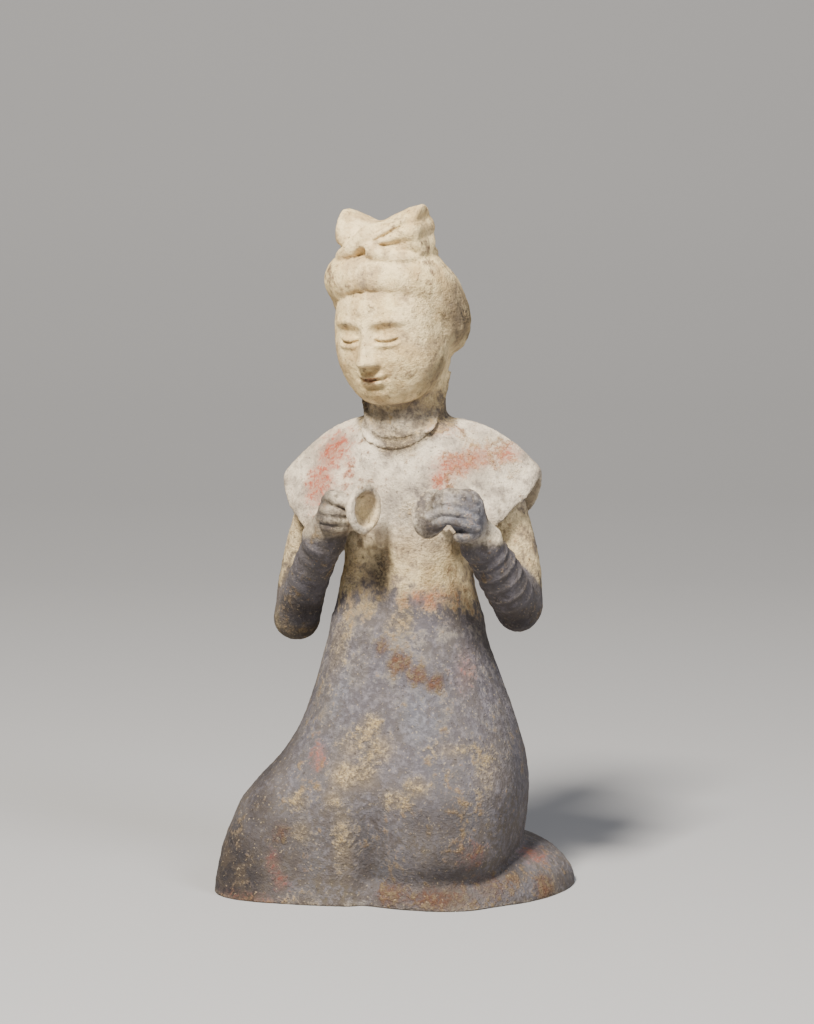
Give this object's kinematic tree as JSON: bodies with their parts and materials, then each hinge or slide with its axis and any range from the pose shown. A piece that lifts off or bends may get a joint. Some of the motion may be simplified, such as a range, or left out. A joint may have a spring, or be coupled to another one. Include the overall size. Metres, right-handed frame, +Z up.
{
  "type": "kneeling pottery musician figure",
  "caption": "Pottery figure of a kneeling musician with a topknot, holding a pair of small cymbals in front of the chest.",
  "frame": {"origin": "where the axis of the neck meets the ground under the skirt", "axes": "+Z up; the figure looks towards -Y and its left hand is on the +X side"},
  "size_m": [0.1011, 0.0859, 0.2081],
  "materials": {
    "painted_earthenware": "matte"
  },
  "bodies": {
    "root": {"musician_figure": "painted_earthenware"}
  },
  "joints": []
}
